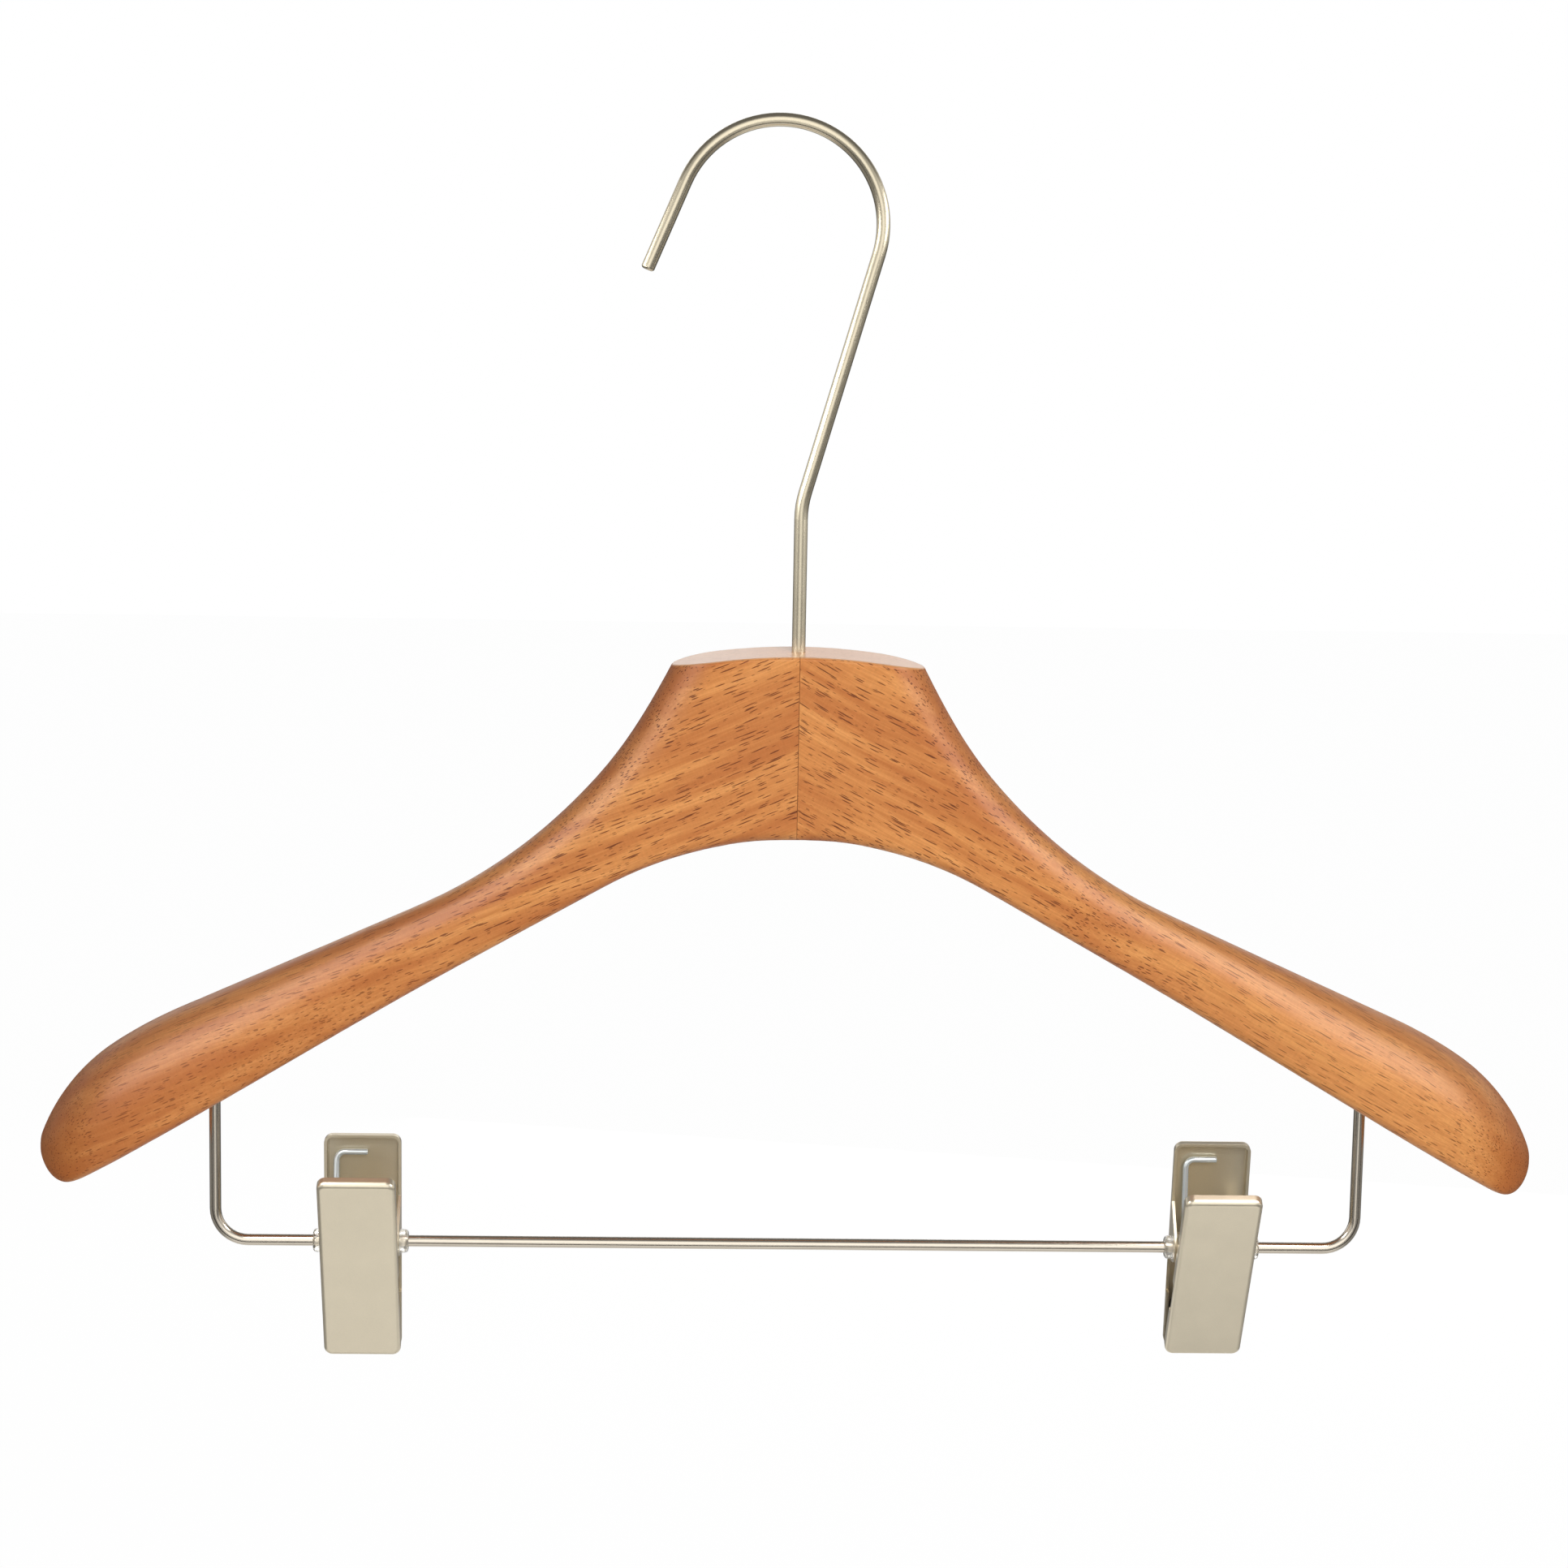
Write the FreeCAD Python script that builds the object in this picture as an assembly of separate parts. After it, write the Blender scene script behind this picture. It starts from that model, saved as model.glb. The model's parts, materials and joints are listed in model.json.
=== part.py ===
import FreeCAD, Part
import math
import os

# A wooden skirt hanger: two glued wooden arms, a swivelling wire hook, a wire bar under the arms,
# and two sprung metal clips that slide and turn on the bar.
# All sizes are in millimetres. X runs along the hanger, Y from the front (-Y) to the back, Z is up.
# The origin is on the hook's swivel axis, at the inside of the hook, where a rail carries the hanger.

# Hook: one bent wire
hook_wire = 3.5                # wire diameter
hook_radius = 26.2             # bend radius of the crook, at the middle of the wire
hook_offset = 6.7              # how far the crook's centre stands to the left of the swivel axis
hook_centre_height = 108.9     # crook's centre above the top of the neck
hook_stem = 37.8               # straight stem above the neck, up to the bend
hook_stem_bend = 25.0          # radius of that bend, at the middle of the wire
hook_flare = 23.0              # lean of the free end from upright, in degrees
hook_tip = 24.0                # straight length of the free end
hook_tip_round = 0.8           # rounding of the free end
hook_shank = 24.0              # length of the stem inside the wood
thread_crest = 0.45            # height of a thread crest above the wire
thread_pitch = 2.4
thread_count = 5
swivel_clearance = 0.08        # between the hook's shank and the wood

# Wooden arms
overall_width = 391.0
neck_width = 65.0              # width of the domed top of the neck, corner to corner
neck_height = 47.6             # from the top of the neck down to the arch under it
neck_crown = 3.4               # rise of the domed top over its width
neck_edge = 0.9                # rounding of the edge around the top of the neck
neck_thickness = 23.0
waist_thickness = 21.0         # thinnest stretch of the arm
waist_place = 88.0             # its distance from the middle
shoulder_thickness = 44.0      # thickest stretch, near the end of the arm
nose_length = 22.0             # length over which the end rounds off, seen from above
nose_flat = 0.15               # how far the very end is sanded flat
flank_angle = 65.0             # steepness of the neck's side at its top, in degrees
flank_radius = 132.0           # hollow curve from the neck down to the shoulder
shoulder_angle = 24.3          # slope of the shoulder, in degrees
crest_angle = 34.0             # slope where the shoulder's curve meets the nose, in degrees
crest_radius = 115.0
nose_radius = 49.0
nose_corner = 7.5              # radius of the lower corner of the end
arm_angle = 29.7               # slope of the straight underside, in degrees
arch_radius = 100.0            # arch under the neck
top_roundness = 0.8            # rise of the rounded top over half the thickness
under_edge = 3.0               # rounding of the lower edges
top_share = 0.62               # most of a slice's height that its rounded top may take
edge_share = 0.3               # most of a slice's height, or half thickness, that a lower edge may take
comb_depth = 3.2               # reach of each finger of the glued comb joint, to either side
comb_fingers = 4
comb_face = 1.2                # plain stretch of the joint at the front and at the back
glue_line = 0.08               # gap between the two arms, filled by glue

# Clip bar: one bent wire
bar_wire = 3.0
bar_span = 301.0               # between the middles of its two legs
bar_drop = 157.8               # from the top of the neck down to the middle of the bar
bar_corner = 8.5               # bend radius, at the middle of the wire
bar_leg_in_wood = 15.0
bar_end_round = 0.5
bar_seat_clearance = 0.05      # between a leg and its hole

# Clips: two pressed trays on a common pivot, which is the bar
clip_spacing = 224.8           # between the middles of the two clips
clip_width = 20.3
clip_handle = 26.9             # from the pivot up to the end of the handles
clip_jaw = 32.2                # from the pivot down to the end of the jaws
clip_stand_off = 9.5           # from the pivot out to the face of a plate
left_clip_swing = 13.8         # how far the left clip has been turned on the bar, in degrees
right_clip_swing = 20.1        # the same for the right clip, in degrees
sheet = 0.8                    # thickness of the pressed steel
tray_depth = 3.0
tray_bend = 1.3                # outer radius of the pressed edge
tray_corner = 2.3              # corner radius, seen from the front
ear_eye = 4.0                  # radius of the rounded end of an ear
ear_above = 10.4               # where the ear starts on the rim, above and below the pivot
ear_below = 6.2
ear_gap = 0.15                 # between neighbouring ears, and between ear and bush
jaw_wall = 15.8                # length of the side wall at the jaw
pivot_clearance = 0.10         # between an ear's hole and the bush in it
jaw_gap = 0.32                 # between the two pads when the clip is shut

# Clear bushes that grip the bar and carry the ears
bush_spigot = 4.6              # diameter of the part that passes through the ears
bush_collar = 6.2              # diameter of the part that shows
bush_collar_length = 2.2
bush_collar_round = 1.0
bush_reach = 0.2               # how far it stands out inside the inner ear
bush_clearance = 0.05          # between the bush and the bar

# Jaw pads
pad_length = 12.0
pad_proud = 0.4                # how far a pad stands out of its tray
pad_margin = 0.55              # space between a pad and the walls around it
pad_corner = 1.2
pad_groove = 0.5               # depth and half width of the grip grooves
pad_grooves = 4

# Torsion spring
spring_wire = 1.6
spring_radius = 2.9            # radius of the coil, at the middle of the wire
spring_length = 13.8           # between the two legs, along the bar
spring_turns = 6               # whole turns, beside the part turn between the legs
spring_leg = 22.0              # height of the bent ends, along the plates
spring_foot = 8.2              # length of the bent ends, across the plates
spring_bend = 2.2              # bend radius at the end of a leg
spring_seat_gap = 0.3          # between a bent end and the plate behind it

# How finely forms are laid out
arm_slices = 26
outline_passes = 6             # how often the arm's outline is laid out again until its end is in place
overlap = 0.2                  # how far pieces of one solid are sunk into each other to join them
spare = 1.0                    # how far a cutting body stands out of what it cuts
hair = 0.01                    # distance within which a point counts as lying on a face

# Places that follow from the sizes above
hook_r = hook_wire / 2
seat_height = math.sqrt((hook_radius - hook_r) ** 2 - hook_offset ** 2)
neck_top = -(hook_centre_height + seat_height)
half_width = overall_width / 2
bar_height = neck_top - bar_drop
bar_r = bar_wire / 2
leg_place = bar_span / 2
spring_r = spring_wire / 2
pad_face = tray_depth + pad_proud
pad_foot = clip_jaw - sheet - pad_margin
outer_ear = clip_width / 2 - sheet
inner_ear = outer_ear - ear_gap - sheet

x_axis = FreeCAD.Vector(1, 0, 0)
y_axis = FreeCAD.Vector(0, 1, 0)
z_axis = FreeCAD.Vector(0, 0, 1)
origin = FreeCAD.Vector(0, 0, 0)


def vec(x, y, z):
    return FreeCAD.Vector(x, y, z)


def cosine(degrees):
    return math.cos(math.radians(degrees))


def sine(degrees):
    return math.sin(math.radians(degrees))


def line(start, end):
    return Part.LineSegment(start, end).toShape()


def arc(start, middle, end):
    return Part.Arc(start, middle, end).toShape()


def box(x_range, y_range, z_range):
    size = [end - start for start, end in (x_range, y_range, z_range)]
    return Part.makeBox(*size, vec(x_range[0], y_range[0], z_range[0]))


# A round wire swept along edges, from the start point of the first one
def round_wire(path_edges, start, direction, radius):
    profile = Part.Wire(Part.makeCircle(radius, start, direction))
    return Part.Wire(path_edges).makePipeShell([profile], True, False)


# The circular edges whose centres lie within reach of a place
def edges_near(shape, place, reach):
    return [edge for edge in shape.Edges if edge.CenterOfMass.distanceToPoint(place) < reach]


# Arc that rounds a corner of a path; both directions point along the path
def corner_arc(corner, arriving, leaving, radius):
    turn = arriving.getAngle(leaving)
    setback = radius * math.tan(turn / 2)
    start = corner - arriving * setback
    end = corner + leaving * setback
    inward = (leaving - arriving).normalize()
    bulge = radius / math.cos(turn / 2) - radius
    return start, arc(start, corner + inward * bulge, end), end


# Hook
def hook_path():
    centre = vec(-hook_offset, 0, neck_top + hook_centre_height)
    corner = vec(0, 0, neck_top + hook_stem)
    to_centre = centre - corner
    lean = math.asin(hook_radius / to_centre.Length) + math.atan2(to_centre.x, to_centre.z)
    leaning = vec(math.sin(lean), 0, math.cos(lean))
    touch = centre + vec(math.cos(lean), 0, -math.sin(lean)) * hook_radius
    bend_start, bend, bend_end = corner_arc(corner, z_axis, leaning, hook_stem_bend)
    crook_end = centre + vec(-cosine(hook_flare), 0, sine(hook_flare)) * hook_radius
    tip = crook_end + vec(-sine(hook_flare), 0, -cosine(hook_flare)) * hook_tip
    foot = vec(0, 0, neck_top - hook_shank)
    edges = [
        line(foot, bend_start),
        bend,
        line(bend_end, touch),
        arc(touch, centre + z_axis * hook_radius, crook_end),
        line(crook_end, tip),
    ]
    return edges, foot, tip


# The screwed end of the shank as a stack of crests, with the wire grown by a clearance
def thread_crests(clearance):
    radius = hook_r + clearance
    half = thread_pitch / 2
    low = neck_top - hook_shank
    points = [vec(0, 0, low), vec(radius, 0, low)]
    for number in range(thread_count):
        middle = low + thread_pitch * (number + 0.5)
        points.append(vec(radius + thread_crest, 0, middle))
        points.append(vec(radius, 0, middle + half))
    points.append(vec(0, 0, low + thread_pitch * thread_count))
    points.append(points[0])
    return Part.Face(Part.makePolygon(points)).revolve(origin, z_axis, 360)


def make_hook():
    edges, foot, tip = hook_path()
    wire = round_wire(edges, foot, z_axis, hook_r)
    wire = wire.makeFillet(hook_tip_round, edges_near(wire, tip, hook_r / 2))
    return wire.fuse(thread_crests(0)).removeSplitter()


# What is bored out of the wood for the hook's shank
def hook_bore():
    bottom = neck_top - hook_shank - swivel_clearance
    length = hook_shank + swivel_clearance + spare
    hole = Part.makeCylinder(hook_r + swivel_clearance, length, vec(0, 0, bottom))
    return hole.fuse(thread_crests(swivel_clearance))


# The right arm seen from the front: a chain of tangent arcs and straight runs.
# Heights are measured from the top of the neck.
class ArmOutline:
    def __init__(self):
        end = half_width + nose_flat
        self.lay_out(end)
        # A lower corner that cuts the nose short is made up by a longer shoulder
        for settling in range(outline_passes):
            self.lay_out(self.reach + end - self.tip)

    def lay_out(self, reach):
        self.reach = reach
        self.corner = neck_width / 2
        self.flank = (
            self.corner + flank_radius * sine(flank_angle),
            -neck_crown + flank_radius * cosine(flank_angle),
        )
        self.flank_end = self.flank[0] - flank_radius * sine(shoulder_angle)
        flank_end_height = self.flank[1] - flank_radius * cosine(shoulder_angle)
        self.shoulder_slope = math.tan(math.radians(shoulder_angle))
        self.shoulder_level = flank_end_height + self.shoulder_slope * self.flank_end
        nose_run = nose_radius * (1 - sine(crest_angle))
        crest_run = crest_radius * (sine(crest_angle) - sine(shoulder_angle))
        self.crest_end = reach - nose_run
        self.crest_start = self.crest_end - crest_run
        crest_top = self.shoulder_level - self.shoulder_slope * self.crest_start
        self.crest = (
            self.crest_start - crest_radius * sine(shoulder_angle),
            crest_top - crest_radius * cosine(shoulder_angle),
        )
        nose_height = self.crest[1] + (crest_radius - nose_radius) * cosine(crest_angle)
        self.nose = (reach - nose_radius, nose_height)
        self.arch_end = arch_radius * sine(arm_angle)
        self.under_slope = math.tan(math.radians(arm_angle))
        arch_end_height = -neck_height - arch_radius * (1 - cosine(arm_angle))
        self.under_level = arch_end_height + self.under_slope * self.arch_end
        # The lower corner is an arc that touches the nose and the straight underside
        corner_level = self.under_level + nose_corner / cosine(arm_angle)
        above = (corner_level - self.under_slope * self.nose[0] - self.nose[1]) * cosine(arm_angle)
        along = math.sqrt((nose_radius - nose_corner) ** 2 - above ** 2)
        self.heel = (
            self.nose[0] + above * sine(arm_angle) + along * cosine(arm_angle),
            self.nose[1] + above * cosine(arm_angle) - along * sine(arm_angle),
        )
        self.heel_start = self.heel[0] - nose_corner * sine(arm_angle)
        nose_share = nose_radius / (nose_radius - nose_corner)
        self.heel_end = self.nose[0] + (self.heel[0] - self.nose[0]) * nose_share
        self.heel_is_tip = self.heel[1] > self.nose[1]
        self.tip = self.heel[0] + nose_corner if self.heel_is_tip else reach

    # Height of the upper outline at x, and how steeply it falls there
    def top(self, x):
        if x < self.corner:
            steepness = math.tan(math.radians(flank_angle))
            return -neck_crown + steepness * (self.corner - x), steepness
        if x < self.flank_end:
            side = self.flank[0] - x
            up = math.sqrt(flank_radius ** 2 - side ** 2)
            return self.flank[1] - up, side / up
        if x < self.crest_start:
            return self.shoulder_level - self.shoulder_slope * x, self.shoulder_slope
        centre = self.crest
        radius = crest_radius
        if x > self.crest_end:
            centre = self.nose
            radius = nose_radius
        if self.heel_is_tip and x > self.heel_end:
            centre = self.heel
            radius = nose_corner
        side = x - centre[0]
        up = math.sqrt(radius ** 2 - side ** 2)
        return centre[1] + up, side / up

    # Height of the lower outline at x
    def bottom(self, x):
        if x < self.arch_end:
            return -neck_height - arch_radius + math.sqrt(arch_radius ** 2 - x ** 2)
        if x < self.heel_start:
            return self.under_level - self.under_slope * x
        centre = self.heel
        radius = nose_corner
        if not self.heel_is_tip and x > self.heel_end:
            centre = self.nose
            radius = nose_radius
        side = x - centre[0]
        return centre[1] - math.sqrt(radius ** 2 - side ** 2)


# A smooth passage from one value to another as share goes from 0 to 1
def blend(first, last, share):
    share = min(max(share, 0.0), 1.0)
    return first + (last - first) * share * share * (3 - 2 * share)


# Half the arm's thickness at x, seen from above
def half_thickness(x):
    neck_end = neck_width / 2
    widest = half_width - nose_length
    if x < waist_place:
        return blend(neck_thickness, waist_thickness, (x - neck_end) / (waist_place - neck_end)) / 2
    if x < widest:
        return blend(waist_thickness, shoulder_thickness, (x - waist_place) / (widest - waist_place)) / 2
    share = (x - widest) / (nose_length + nose_flat)
    return shoulder_thickness / 2 * math.sqrt(1 - share ** 2)


# Half an ellipse over a flat base, from its right end over the top to its left end
def crown_arc(place, half, base, rise):
    middle = vec(place, 0, base)
    right = vec(place, half, base)
    top = vec(place, 0, base + rise)
    if half >= rise:
        return Part.ArcOfEllipse(Part.Ellipse(right, top, middle), 0, math.pi).toShape()
    left = vec(place, -half, base)
    return Part.ArcOfEllipse(Part.Ellipse(top, left, middle), -math.pi / 2, math.pi / 2).toShape()


# A slice across the arm: flat sides and underside, eased lower edges, rounded top
def arm_slice(outline, place):
    x = abs(place)
    half = half_thickness(x)
    top, steepness = outline.top(x)
    bottom = outline.bottom(x)
    height = top - bottom
    rise = min(top_roundness * half * math.hypot(1, steepness), top_share * height)
    edge = min(under_edge, edge_share * min(half, height))
    low = neck_top + bottom
    base = neck_top + top - rise
    inset = edge * (1 - math.sqrt(0.5))
    inner = half - edge
    ease = half - inset
    return Part.Wire([
        line(vec(place, -inner, low), vec(place, inner, low)),
        arc(vec(place, inner, low), vec(place, ease, low + inset), vec(place, half, low + edge)),
        line(vec(place, half, low + edge), vec(place, half, base)),
        crown_arc(place, half, base, rise),
        line(vec(place, -half, base), vec(place, -half, low + edge)),
        arc(vec(place, -half, low + edge), vec(place, -ease, low + inset), vec(place, -inner, low)),
    ])


# The right arm with its top cut to the neck's dome, but not yet jointed or drilled
def arm_blank():
    outline = ArmOutline()
    start = -(comb_depth + spare)
    first = math.asin(start / outline.tip)
    last = math.asin(half_width / outline.tip)
    slices = []
    for number in range(arm_slices):
        turn = first + (last - first) * number / (arm_slices - 1)
        slices.append(arm_slice(outline, outline.tip * math.sin(turn)))
    blank = Part.makeLoft(slices, True, False)
    dome_radius = (outline.corner ** 2 + neck_crown ** 2) / (2 * neck_crown)
    across = (-neck_thickness, neck_thickness)
    above = box((-neck_width, neck_width), across, (neck_top - neck_height, 0))
    dome = Part.makeCylinder(
        dome_radius, 2 * neck_thickness, vec(0, -neck_thickness, neck_top - dome_radius), y_axis
    )
    blank = blank.cut(above.cut(dome))
    rim = [
        edge for edge in blank.Edges
        if on_dome(edge, dome_radius) and edge.BoundBox.XMax > start + overlap
    ]
    return blank.makeFillet(neck_edge, rim)


# Whether an edge lies on the domed top of the neck
def on_dome(edge, dome_radius):
    ends_and_middle = edge.discretize(3)
    reach = [math.hypot(point.x, point.z - neck_top + dome_radius) for point in ends_and_middle]
    return all(abs(value - dome_radius) < hair for value in reach)


# Everything on one side of the zigzag along which the two arms are glued
def comb_side(side):
    half = neck_thickness / 2 - comb_face
    pitch = 2 * half / comb_fingers
    far = shoulder_thickness
    shift = side * glue_line / 2
    points = [vec(shift, -far, 0), vec(shift, -half, 0)]
    for number in range(2 * comb_fingers):
        reach = comb_depth if number % 2 == 0 else -comb_depth
        points.append(vec(shift + reach, -half + pitch * (number + 0.5) / 2, 0))
    points += [vec(shift, half, 0), vec(shift, far, 0)]
    points += [vec(side * overall_width, far, 0), vec(side * overall_width, -far, 0)]
    points.append(points[0])
    depth = 2 * (bar_drop + neck_height)
    return Part.Face(Part.makePolygon(points)).extrude(vec(0, 0, -depth))


def make_arm(blank, side):
    if side < 0:
        blank = blank.mirror(origin, x_axis)
    arm = blank.common(comb_side(side)).cut(hook_bore())
    leg = Part.makeCylinder(
        bar_r + bar_seat_clearance, bar_leg_top() - bar_height, vec(side * leg_place, 0, bar_height)
    )
    return arm.cut(leg)


# Height of the end of a bar leg inside the wood
def bar_leg_top():
    return neck_top + ArmOutline().bottom(leg_place) + bar_leg_in_wood


def make_clip_bar():
    top = bar_leg_top()
    left = vec(-leg_place, 0, bar_height)
    right = vec(leg_place, 0, bar_height)
    left_start, left_bend, left_end = corner_arc(left, -z_axis, x_axis, bar_corner)
    right_start, right_bend, right_end = corner_arc(right, x_axis, z_axis, bar_corner)
    start = vec(-leg_place, 0, top)
    end = vec(leg_place, 0, top)
    edges = [
        line(start, left_start),
        left_bend,
        line(left_end, right_start),
        right_bend,
        line(right_end, end),
    ]
    wire = round_wire(edges, start, -z_axis, bar_r)
    ends = edges_near(wire, start, bar_r / 2) + edges_near(wire, end, bar_r / 2)
    return wire.makeFillet(bar_end_round, ends)


# Clip pieces are laid out on a plate that faces the front: Y runs inwards from its face,
# and the pivot is at Z = 0.


# A block with rounded corners, and with a rounded edge around its face
def pressed_block(half, low, high, face, back, corner, bend):
    block = box((-half, half), (face, back), (low, high))
    corners = [edge for edge in block.Edges if edge.BoundBox.YLength > (back - face) / 2]
    block = block.makeFillet(corner, corners)
    rim = [edge for edge in block.Edges if edge.BoundBox.YMax < face + bend / 2]
    return block.makeFillet(bend, rim)


# Outline of an ear, from the rim of the tray to its round eye at the pivot
def ear_face(x, foot):
    eye = vec(x, clip_stand_off, 0)
    upper = vec(x, tray_depth, ear_above)
    lower = vec(x, tray_depth, -ear_below)
    to_upper = upper - eye
    to_lower = lower - eye
    upper_turn = math.atan2(to_upper.z, to_upper.y) - math.acos(ear_eye / to_upper.Length)
    lower_turn = math.atan2(to_lower.z, to_lower.y) + math.acos(ear_eye / to_lower.Length)
    upper_touch = eye + vec(0, math.cos(upper_turn), math.sin(upper_turn)) * ear_eye
    lower_touch = eye + vec(0, math.cos(lower_turn), math.sin(lower_turn)) * ear_eye
    upper_foot = vec(x, foot, ear_above)
    lower_foot = vec(x, foot, -ear_below)
    return Part.Face(Part.Wire([
        line(lower_foot, upper_foot),
        line(upper_foot, upper),
        line(upper, upper_touch),
        arc(upper_touch, eye + y_axis * ear_eye, lower_touch),
        line(lower_touch, lower),
        line(lower, lower_foot),
    ]))


# A pressed tray with two ears; the rear plate's ears carry on its side walls,
# and the front plate's ears are set inwards so that they pass between the rear ones
def make_plate(ears_inside):
    half = clip_width / 2
    tray = pressed_block(half, -clip_jaw, clip_handle, 0, tray_depth, tray_corner, tray_bend)
    hollow = pressed_block(
        half - sheet, -clip_jaw + sheet, clip_handle - sheet, sheet, tray_depth + spare,
        tray_corner - sheet, tray_bend - sheet,
    )
    plate = tray.cut(hollow)
    for side in (-1, 1):
        wall = (side * half - spare, side * half + spare)
        plate = plate.cut(box(wall, (tray_bend, tray_depth + spare), (-clip_jaw + jaw_wall, -ear_below)))
        ear_place = inner_ear if ears_inside else outer_ear
        foot = sheet - overlap if ears_inside else tray_depth - overlap
        inner_side = side * ear_place if side > 0 else side * (ear_place + sheet)
        plate = plate.fuse(ear_face(inner_side, foot).extrude(x_axis * sheet))
        if ears_inside:
            step = sorted((side * (inner_ear + sheet - overlap), side * (outer_ear + overlap)))
            plate = plate.fuse(box(step, (sheet - overlap, tray_depth), (-ear_below, ear_above)))
    hole = Part.makeCylinder(
        bush_spigot / 2 + pivot_clearance, clip_width + 2 * spare,
        vec(-half - spare, clip_stand_off, 0), x_axis,
    )
    return plate.cut(hole).removeSplitter()


# A ribbed pad that lies on the floor of the tray at the end of the jaw
def make_pad():
    half = clip_width / 2 - sheet - pad_margin
    top = pad_length - pad_foot
    pad = box((-half, half), (sheet, pad_face), (-pad_foot, top))
    corners = [edge for edge in pad.Edges if edge.BoundBox.YLength > pad_face / 2]
    pad = pad.makeFillet(pad_corner, corners)
    for number in range(pad_grooves):
        middle = -pad_foot + pad_length * (number + 1) / (pad_grooves + 1)
        groove = Part.makePolygon([
            vec(-half - spare, pad_face, middle - pad_groove),
            vec(-half - spare, pad_face - pad_groove, middle),
            vec(-half - spare, pad_face, middle + pad_groove),
            vec(-half - spare, pad_face, middle - pad_groove),
        ])
        pad = pad.cut(Part.Face(groove).extrude(x_axis * 2 * (half + spare)))
    return pad


# A collar outside the ears, with a spigot that reaches through both of them to the right
def make_bush():
    collar_start = clip_width / 2 + ear_gap
    collar_end = collar_start + bush_collar_length
    tip = inner_ear - bush_reach
    bore = bar_r + bush_clearance
    profile = Part.makePolygon([
        vec(tip, 0, bore),
        vec(tip, 0, bush_spigot / 2),
        vec(collar_start, 0, bush_spigot / 2),
        vec(collar_start, 0, bush_collar / 2),
        vec(collar_end, 0, bush_collar / 2),
        vec(collar_end, 0, bore),
        vec(tip, 0, bore),
    ])
    bush = Part.Face(profile).revolve(origin, x_axis, 360)
    rim = [
        edge for edge in bush.Edges
        if edge.BoundBox.XMin > collar_end - overlap and edge.BoundBox.ZMax > bush_collar / 2 - overlap
    ]
    return bush.makeFillet(bush_collar_round, rim)


# Two arcs that leave one point in one direction and reach another point in another direction
def biarc(start, leaving, end, arriving):
    chord = end - start
    both = leaving + arriving
    spread = 2 * (1 - leaving.dot(arriving))
    lean = chord.dot(both)
    reach = (math.sqrt(lean ** 2 + spread * chord.dot(chord)) - lean) / spread
    meeting = (start + end + (leaving - arriving) * reach) / 2
    return [tangent_arc(start, leaving, meeting), tangent_arc(end, -arriving, meeting, True)]


# The arc from one point to another that leaves the first in a given direction
def tangent_arc(start, leaving, end, backwards=False):
    chord = end - start
    turn = leaving.getAngle(chord)
    middle = (start + end) / 2
    side = leaving - chord * (leaving.dot(chord) / chord.dot(chord))
    middle += side.normalize() * chord.Length / 2 * math.tan(turn / 2)
    return arc(end, middle, start) if backwards else arc(start, middle, end)


# Lean of each plate from the clip's middle plane that leaves the jaw gap between the pads, in degrees
def plate_lean():
    inwards = clip_stand_off - pad_face
    reach = math.hypot(inwards, pad_foot)
    return math.degrees(math.acos(jaw_gap / 2 / reach) - math.atan2(pad_foot, inwards))


# The spring's middle line, from the bent end on the rear plate to the one on the front plate
def spring_path():
    lean = plate_lean()
    stand_off = clip_stand_off - sheet - spring_seat_gap - spring_r
    seat_y = stand_off * cosine(lean) + spring_leg * sine(lean)
    seat_z = spring_leg * cosine(lean) - stand_off * sine(lean)
    first = math.atan2(seat_z, seat_y) - math.acos(spring_radius / math.hypot(seat_y, seat_z))
    last = -math.pi - first
    sweep = spring_turns * 2 * math.pi + first - last
    steps = round(sweep / (math.pi / 2))
    half = spring_length / 2
    points = []
    directions = []
    for number in range(steps + 1):
        share = number / steps
        turn = first - sweep * share
        points.append(vec(
            -half + spring_length * share,
            spring_radius * math.cos(turn),
            spring_radius * math.sin(turn),
        ))
        advance = 0 if number in (0, steps) else spring_length / sweep
        direction = vec(advance, spring_radius * math.sin(turn), -spring_radius * math.cos(turn))
        directions.append(direction.normalize())
    coil = []
    for number in range(steps):
        coil += biarc(points[number], directions[number], points[number + 1], directions[number + 1])
    rear = vec(-half, seat_y, seat_z)
    front = vec(half, -seat_y, seat_z)
    foot_end, rear_bend, rear_end = corner_arc(rear, -x_axis, directions[0], spring_bend)
    front_start, front_bend, front_end = corner_arc(front, directions[-1], -x_axis, spring_bend)
    rear_tip = rear + x_axis * spring_foot
    front_tip = front - x_axis * spring_foot
    edges = [line(rear_tip, foot_end), rear_bend, line(rear_end, points[0])]
    edges += coil
    edges += [line(points[-1], front_start), front_bend, line(front_end, front_tip)]
    return edges, rear_tip


def make_spring():
    edges, start = spring_path()
    return round_wire(edges, start, -x_axis, spring_r)


# Least gap between two stretches of the spring that are more than half a turn apart
def spring_self_gap():
    points = []
    travelled = 0
    for edge in spring_path()[0]:
        count = max(3, round(edge.Length / spring_r))
        along = [travelled + edge.Length * number / (count - 1) for number in range(count)]
        points += zip(along, edge.discretize(count))
        travelled += edge.Length
    half_turn = math.pi * spring_radius
    gaps = [
        first.distanceToPoint(second) - spring_wire
        for start, first in points for end, second in points if end - start > half_turn
    ]
    return min(gaps)


# Places the pieces of a clip on the bar, turned as far as the clip has swung
def place_on_bar(shape, swing, x):
    placed = shape.copy()
    placed.rotate(origin, x_axis, swing)
    placed.translate(vec(x, 0, bar_height))
    return placed


def facing_front(shape):
    turned = shape.copy()
    turned.translate(vec(0, -clip_stand_off, 0))
    turned.rotate(origin, x_axis, plate_lean())
    return turned


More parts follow.
